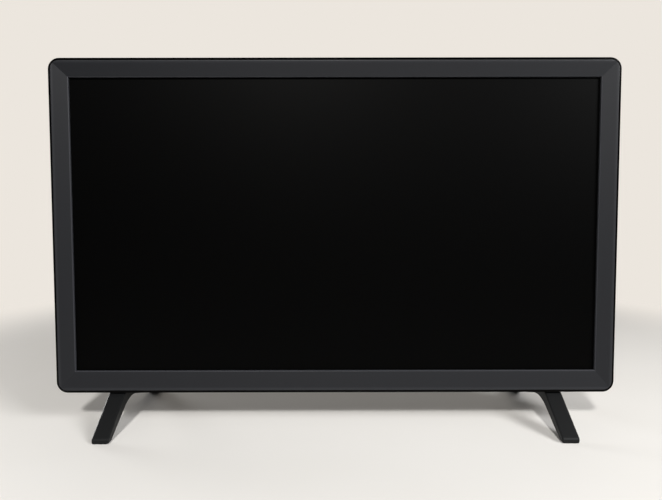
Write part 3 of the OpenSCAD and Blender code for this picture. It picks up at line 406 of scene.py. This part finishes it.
# cast acrylic light guide: clear with a printed dot grid on one face
makeFinish("dottedAcrylic", {
    "colour": "#dde8ea", "shade": "#d3e0e2", "mottle": 120, "ior": 1.49, "roughness": 0.08, "spread": 0.03,
    "clear": 0.6,
    "cells": 3.0, "markColour": "#f7f8f8", "markFrom": 0.28, "markTo": 0.22,
})
# foamed white PET reflector: bright, dull, slightly uneven
makeFinish("foamedPetReflector", {
    "colour": "#f4f4f3", "shade": "#eaeaea", "mottle": 30, "roughness": 0.55, "grain": 0.7, "relief": 0.01,
})
# extruded aluminium: grey metal with die lines along the bar
makeFinish("extrudedAluminium", {
    "colour": "#b9bcbf", "shade": "#a9adb0", "mottle": 18, "metallic": 1.0, "roughness": 0.34,
    "lines": 0.8, "across": "X", "waver": 1.5, "relief": 0.02,
})
# phosphor resin over a diode: chalky yellow
makeFinish("phosphorResin", {
    "colour": "#f1e3a4", "shade": "#e5d48c", "mottle": 2, "roughness": 0.6, "grain": 0.4, "relief": 0.02,
})
# hot-dip zinc on steel sheet: grey with a leafy spangle
makeFinish("zincCoatedSteel", {
    "colour": "#a9adb0", "shade": "#979b9e", "mottle": 9, "metallic": 1.0, "roughness": 0.4, "spread": 0.12,
    "cells": 5.0, "relief": 0.01, "markColour": "#b9bdc0", "markFrom": 0.2, "markTo": 0.6,
})
# glass-fibre laminate under green solder mask: copper shows through as lighter tracks
makeFinish("maskedLaminate", {
    "colour": "#1d4a34", "shade": "#173e2b", "mottle": 14, "roughness": 0.32, "coat": 0.3,
    "lines": 2.2, "across": "X", "waver": 7.0, "relief": 0.03,
    "markColour": "#2f6b4a", "markFrom": 0.55, "markTo": 0.62,
})
# polyimide film with etched tracks: amber, glossy, darker lines
makeFinish("etchedPolyimide", {
    "colour": "#b0762c", "shade": "#a06a26", "mottle": 8, "ior": 1.7, "roughness": 0.28,
    "lines": 0.9, "across": "X", "markColour": "#7c4c18", "markFrom": 0.6, "markTo": 0.7,
})
# black-oxide steel: screws, oily dark sheen
makeFinish("blackOxideSteel", {
    "colour": "#2f3033", "shade": "#232427", "mottle": 2, "metallic": 1.0, "roughness": 0.38,
    "grain": 0.5, "relief": 0.01,
})
# turned brass: warm metal with tool rings
makeFinish("turnedBrass", {
    "colour": "#c2a04e", "shade": "#a98639", "mottle": 3, "metallic": 1.0, "roughness": 0.26,
    "lines": 0.5, "across": "Y", "relief": 0.03,
})
# transfer-moulded epoxy: chip bodies, charcoal and dull
makeFinish("mouldedEpoxy", {
    "colour": "#1d1d1f", "shade": "#171719", "mottle": 5, "roughness": 0.6, "grain": 0.3, "relief": 0.02,
})
# aluminium can in a shrunk PVC sleeve
makeFinish("sleevedCan", {
    "colour": "#30343c", "shade": "#282c33", "mottle": 6, "roughness": 0.35, "grain": 0.6, "relief": 0.01,
})
# tin-plated brass shell: pale, smooth, faintly cloudy
makeFinish("tinPlatedShell", {
    "colour": "#c4c7c9", "shade": "#aeb2b5", "mottle": 4, "metallic": 1.0, "roughness": 0.24,
    "grain": 0.4, "relief": 0.006,
})
# glass-filled nylon: black socket bodies with a dry skin
makeFinish("glassFilledNylon", {
    "colour": "#1a1b1d", "shade": "#131416", "mottle": 4, "ior": 1.53, "roughness": 0.5,
    "grain": 0.4, "relief": 0.02,
})
# natural nylon: ivory connector bodies
makeFinish("naturalNylon", {
    "colour": "#e2ddcd", "shade": "#d6d0bf", "mottle": 5, "ior": 1.53, "roughness": 0.45,
    "grain": 0.5, "relief": 0.015,
})
# flat flexible cable: white film with its conductors showing as ridges
makeFinish("flatFlexCable", {
    "colour": "#dcdddf", "shade": "#d2d3d6", "mottle": 20, "roughness": 0.38,
    "lines": 1.0, "across": "X", "relief": 0.05, "markColour": "#c4c6ca", "markFrom": 0.6, "markTo": 0.75,
})
# extruded PVC sleeve: red and slightly glossy
makeFinish("extrudedPvc", {
    "colour": "#a8322c", "shade": "#962a25", "mottle": 10, "roughness": 0.36, "grain": 0.5, "relief": 0.01,
})
# pressed paper pulp: black cone with felted fibres
makeFinish("pressedPulp", {
    "colour": "#2d2d2c", "shade": "#222221", "mottle": 2, "roughness": 0.85, "grain": 0.5, "relief": 0.08,
})
# moulded rubber: dead black, dry
makeFinish("mouldedRubber", {
    "colour": "#1c1c1c", "shade": "#151515", "mottle": 6, "ior": 1.52, "roughness": 0.75,
    "grain": 0.6, "relief": 0.03,
})
# machined acetal: grey, waxy
makeFinish("machinedAcetal", {
    "colour": "#a2a5a7", "shade": "#94979a", "mottle": 3, "ior": 1.48, "roughness": 0.35,
    "grain": 0.4, "relief": 0.01,
})
# infrared-passing acrylic: almost black, with a deep red glow at its edges
makeFinish("infraredAcrylic", {
    "colour": "#2a0d10", "shade": "#1f090c", "mottle": 8, "ior": 1.49, "roughness": 0.12, "spread": 0.03,
    "clear": 0.3,
})
# powder-coated steel: speaker baskets, fine orange peel
makeFinish("powderCoatedSteel", {
    "colour": "#2e2f32", "shade": "#27282b", "mottle": 8, "roughness": 0.5, "cells": 0.8, "relief": 0.02,
})
# gold flash over nickel on spring strips: warm, bright, finely rolled along the strip
makeFinish("goldFlashedSpring", {
    "colour": "#d8b45c", "shade": "#c7a049", "mottle": 1.5, "metallic": 1.0, "roughness": 0.22,
    "spread": 0.04,
    "lines": 0.3, "across": "Z", "waver": 2.0, "relief": 0.004,
})
print("finishes made:", len(finishes))

wears = {
    "mouldedAbsBezel": ["front_bezel"],
    "sparkErodedAbsCover": ["rear_cover", "control_button"],
    "mouldedAbsFeet": ["foot_right", "foot_left"],
    "antiGlarePolariser": ["front_polariser"],
    "bondedGlassPair": ["lcd_cell"],
    "polyurethaneFoam": ["screen_gasket"],
    "mouldedPolycarbonate": ["panel_frame", "speaker_box_right", "speaker_box_left", "stick_housing"],
    "embossedPetFilm": ["prism_sheet"],
    "beadedPetDiffuser": ["diffuser_sheet"],
    "dottedAcrylic": ["light_guide"],
    "foamedPetReflector": ["reflector_sheet"],
    "extrudedAluminium": ["led_strip", "heat_sink"],
    "phosphorResin": ["led_packages"],
    "zincCoatedSteel": ["backlight_pan", "cover_pillars", "board_pillars"],
    "maskedLaminate": ["source_board", "main_board", "control_board"],
    "etchedPolyimide": ["driver_films"],
    "blackOxideSteel": ["cover_screws", "foot_screws"],
    "turnedBrass": ["bracket_inserts"],
    "mouldedEpoxy": ["board_chips", "remote_receiver"],
    "sleevedCan": ["board_capacitors"],
    "tinPlatedShell": [
        "tuner_can", "aerial_socket", "picture_sockets", "data_socket", "network_socket", "card_slot",
        "board_screws", "speaker_screws", "control_screws", "press_switch",
    ],
    "glassFilledNylon": ["headphone_jack", "power_inlet"],
    "naturalNylon": ["cable_sockets"],
    "flatFlexCable": ["panel_cable", "control_cable"],
    "extrudedPvc": ["speaker_leads"],
    "pressedPulp": ["speaker_cone_right", "speaker_cone_left"],
    "mouldedRubber": ["speaker_surround_right", "speaker_surround_left", "speaker_grommets", "foot_pads"],
    "machinedAcetal": ["stick_ring", "stick_cradle"],
    "infraredAcrylic": ["remote_window"],
    "powderCoatedSteel": ["speaker_frame_right", "speaker_frame_left"],
}
for finish, names in wears.items():
    for name in names:
        slots = nodes[name].data.materials
        slots.clear()
        slots.append(finishes[finish])
print("finishes worn:", sum(len(names) for names in wears.values()), "of", len(nodes))


def startPort(node):  # mouth, board face and middle height of a socket, m
    low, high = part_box(node)
    return Vector((low[0], low[1], (low[2] + high[2]) / 2))


def addBar(shape, corner, far, edge):  # bar with chamfered edges between two corners, mm
    made = bmesh.ops.create_cube(shape, size=1.0)["verts"]
    for vert in made:
        vert.co = [(corner[i] if vert.co[i] < 0 else far[i]) for i in range(3)]
    edges = list({e for vert in made for e in vert.link_edges})
    bmesh.ops.bevel(shape, geom=edges, offset=edge, segments=2, profile=0.5, affect="EDGES")


def addStrip(shape, path, middle, width, thick):  # flat spring along a path in x and y, mm
    rings = []
    for i, point in enumerate(path):
        run = Vector(path[min(i + 1, len(path) - 1)]) - Vector(path[max(i - 1, 0)])
        side = Vector((-run.y, run.x)).normalized() * thick / 2
        ring = []
        for a, b in ((-1, -1), (1, -1), (1, 1), (-1, 1)):
            spot = Vector(point) + side * a
            ring.append(shape.verts.new((spot.x, spot.y, middle + b * width / 2)))
        rings.append(ring)
    for first, second in zip(rings, rings[1:]):
        for i in range(4):
            shape.faces.new((first[i], first[(i + 1) % 4], second[(i + 1) % 4], second[i]))
    shape.faces.new(rings[0][::-1])
    shape.faces.new(rings[-1])


def addTurning(shape, profile, axis, steps=40):  # ring turned about a line along x, from x and radius in mm
    rings = []
    for x, radius in profile:
        turns = [2 * math.pi * i / steps for i in range(steps)]
        ring = [(x, axis + radius * math.cos(a), radius * math.sin(a)) for a in turns]
        rings.append([shape.verts.new(spot) for spot in ring])
    for first, second in zip(rings, rings[1:] + rings[:1]):
        for i in range(steps):
            shape.faces.new((first[i], first[(i + 1) % steps], second[(i + 1) % steps], second[i]))


def addPiece(name, shape, origin, finish, body="television"):
    bmesh.ops.recalc_face_normals(shape, faces=shape.faces)
    bmesh.ops.scale(shape, vec=(mm, mm, mm), verts=shape.verts)
    bmesh.ops.translate(shape, vec=origin, verts=shape.verts)
    mesh = bpy.data.meshes.new(name)
    shape.to_mesh(mesh)
    shape.free()
    mesh.materials.append(finishes[finish])
    piece = bpy.data.objects.new(name, mesh)
    bpy.context.scene.collection.objects.link(piece)
    if body:
        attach(piece, body)
    return piece


# picture-and-sound sockets: plastic tongue, ten strips on one face and nine on the other, mm from the mouth
pictureInside = {
    "centres": (7.5, -7.5), "tongue": ((1.9, 2.1, -5.7), (10.4, 3.7, 5.7)), "edge": 0.15,
    "pitch": 1.0, "width": 0.45, "thick": 0.06, "strip": (2.2, 9.5), "rows": ((10, 3.72), (9, 2.08)),
}


def fillPicture(spec):
    low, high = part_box("picture_sockets")
    heights = (low[2] + spec["centres"][0] * mm, high[2] + spec["centres"][1] * mm)
    for label, height in zip(("Lower", "Upper"), heights):
        origin = Vector((low[0], low[1], height))
        tongue = bmesh.new()
        addBar(tongue, *spec["tongue"], spec["edge"])
        addPiece("pictureTongue" + label, tongue, origin, "glassFilledNylon")
        strips = bmesh.new()
        for count, level in spec["rows"]:
            for i in range(count):
                middle = (i - (count - 1) / 2) * spec["pitch"]
                path = [(spec["strip"][0], level), (spec["strip"][1], level)]
                addStrip(strips, path, middle, spec["width"], spec["thick"])
        addPiece("pictureContacts" + label, strips, origin, "goldFlashedSpring")


fillPicture(pictureInside)

# data socket: tongue with four strips, the outer two longer
dataInside = {
    "tongue": ((1.4, 0.8, -5.6), (13.2, 2.9, 5.6)), "edge": 0.2, "width": 1.0, "thick": 0.1, "level": 2.93,
    "strips": ((-3.5, 2.0), (-1.0, 3.0), (1.0, 3.0), (3.5, 2.0)), "end": 10.5,
    "crown": ((0.0, -0.1), (0.6, 0.0), (2.0, 0.12), (3.4, 0.0)),  # sprung end: run along the strip and rise
}


def fillData(spec):
    origin = startPort("data_socket")
    tongue = bmesh.new()
    addBar(tongue, *spec["tongue"], spec["edge"])
    addPiece("dataTongue", tongue, origin, "glassFilledNylon")
    strips = bmesh.new()
    for middle, start in spec["strips"]:
        path = [(start + run, spec["level"] + rise) for run, rise in spec["crown"]]
        path.append((spec["end"], spec["level"]))
        addStrip(strips, path, middle, spec["width"], spec["thick"])
    addPiece("dataContacts", strips, origin, "goldFlashedSpring")


fillData(dataInside)

# network socket: dark liner inside the shield and eight sprung wires under its roof
networkInside = {
    "room": ((0.4, 2.6, -5.9), (14.0, 10.8, 5.9)), "skin": 0.12, "notch": 3.2, "edge": 0.04,
    "latch": (1.0, 9.0),  # floor and end of the latch channel
    "wires": 8, "pitch": 1.02, "width": 0.42, "thick": 0.32,
    "wire": ((1.6, 10.45), (3.2, 10.4), (10.6, 9.5), (13.7, 9.4)),
}


def fillNetwork(spec):
    origin = startPort("network_socket")
    (x0, y0, z0), (x1, y1, z1) = spec["room"]
    skin, edge = spec["skin"], spec["edge"]
    liner = bmesh.new()
    addBar(liner, (x0, y1 - skin, z0), (x1, y1, z1), edge)
    addBar(liner, (x0, y0, z0), (x1, y1 - skin, z0 + skin), edge)
    addBar(liner, (x0, y0, z1 - skin), (x1, y1 - skin, z1), edge)
    addBar(liner, (x0, y0, z0 + skin), (x1, y0 + skin, -spec["notch"]), edge)
    addBar(liner, (x0, y0, spec["notch"]), (x1, y0 + skin, z1 - skin), edge)
    addBar(liner, (x1 - skin, y0 + skin, z0 + skin), (x1, y1 - skin, z1 - skin), edge)
    notch, (low, end) = spec["notch"], spec["latch"]
    addBar(liner, (end, y0, -notch), (x1 - skin, y0 + skin, notch), edge)
    addBar(liner, (x0, low, -notch), (end, low + skin, notch), edge)
    addBar(liner, (x0, low + skin, -notch), (end, y0, skin - notch), edge)
    addBar(liner, (x0, low + skin, notch - skin), (end, y0, notch), edge)
    addBar(liner, (end - skin, low + skin, skin - notch), (end, y0, notch - skin), edge)
    addPiece("networkLiner", liner, origin, "glassFilledNylon")
    wires = bmesh.new()
    for i in range(spec["wires"]):
        middle = (i - (spec["wires"] - 1) / 2) * spec["pitch"]
        addStrip(wires, spec["wire"], middle, spec["width"], spec["thick"])
    addPiece("networkContacts", wires, origin, "goldFlashedSpring")


fillNetwork(networkInside)

# turned pieces in the round sockets: x from the mouth and radius, mm
roundInside = {
    "aerialInsulator": {
        "node": "tuner_can", "along": -3.1, "axis": 6.5, "finish": "naturalNylon", "slot": "ivory_plastic",
        "profile": ((-1.52, 1.63), (-2.3, 1.63), (-2.5, 1.8), (-2.5, 3.5), (-2.3, 3.72), (-1.52, 3.72)),
    },
    "jackRing": {
        "node": "headphone_jack", "along": 0.0, "axis": 3.5, "finish": "goldFlashedSpring", "slot": "brass",
        "profile": ((0.05, 1.82), (-0.2, 1.9), (-0.3, 2.1), (-0.3, 2.7), (-0.2, 2.9), (0.05, 2.98)),
    },
    "inletPin": {
        "node": "power_inlet", "along": 0.0, "axis": 5.5, "finish": "tinPlatedShell", "slot": "plated_steel",
        "profile": (
            (11.0, 1.01), (1.45, 1.01), (1.3, 0.02), (1.2, 0.02), (1.22, 0.6), (1.4, 0.98), (1.6, 1.1),
            (11.0, 1.1),
        ),
    },
}
for name, spec in roundInside.items():
    ring = bmesh.new()
    addTurning(ring, spec["profile"], spec["axis"])
    origin = startPort(spec["node"]) + Vector((spec["along"] * mm, 0, 0))
    addPiece(name, ring, origin, spec["finish"])
print("sockets filled")

# speaker surrounds: half roll of rubber in sectors between rim and cone, mm from the cone's edge
surround = {
    "sectors": 12, "steps": 4, "thick": 0.4, "inner": -0.8, "outer": 3.4,
    "rollMiddle": 0.6, "rollRadius": 0.9, "rollSteps": 9,
    "moving": 0.05, "still": 1.55,  # where the rubber moves with the cone, and where it stays
}


def rollProfile(spec):  # closed outline of the rubber: upper side outward, lower side back
    inside = spec["rollRadius"] - spec["thick"]
    reach = math.acos(spec["thick"] / spec["rollRadius"])
    points = [(spec["inner"], 0.0)]
    for i in range(spec["rollSteps"] + 1):
        turn = math.pi * (1 + i / spec["rollSteps"])
        points.append((spec["rollMiddle"] + inside * math.cos(turn), inside * math.sin(turn)))
    points += [(spec["outer"], 0.0), (spec["outer"], -spec["thick"])]
    for i in range(spec["rollSteps"] + 1):
        turn = reach - 2 * reach * i / spec["rollSteps"]
        points.append((
            spec["rollMiddle"] + spec["rollRadius"] * math.sin(turn), -spec["rollRadius"] * math.cos(turn),
        ))
    points.append((spec["inner"], -spec["thick"]))
    return points


def rollSurround(side, spec):
    low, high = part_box("speaker_cone_" + side)
    middle = Vector(((low[0] + high[0]) / 2, (low[1] + high[1]) / 2, low[2]))
    edge = (high[0] - low[0]) / 2 / mm
    profile = rollProfile(spec)
    for sector in range(spec["sectors"]):
        shape = bmesh.new()
        rings = []
        for step in range(spec["steps"] + 1):
            turn = 2 * math.pi * (sector + step / spec["steps"]) / spec["sectors"]
            along, across = math.cos(turn), math.sin(turn)
            rings.append([shape.verts.new(((edge + x) * along, (edge + x) * across, z)) for x, z in profile])
        for first, second in zip(rings, rings[1:]):
            for i in range(len(profile)):
                j = (i + 1) % len(profile)
                shape.faces.new((first[i], first[j], second[j], second[i]))
        shape.faces.new(rings[0][::-1])
        shape.faces.new(rings[-1])
        name = "surround" + side.capitalize() + str(sector + 1).zfill(2)
        piece = addPiece(name, shape, middle, "mouldedRubber", body=None)
        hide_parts("speaker_surround_" + side)
        turn = 2 * math.pi * (sector + 0.5) / spec["sectors"]
        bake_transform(piece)


for side in ("right", "left"):
    rollSurround(side, surround)
print("surrounds rolled")
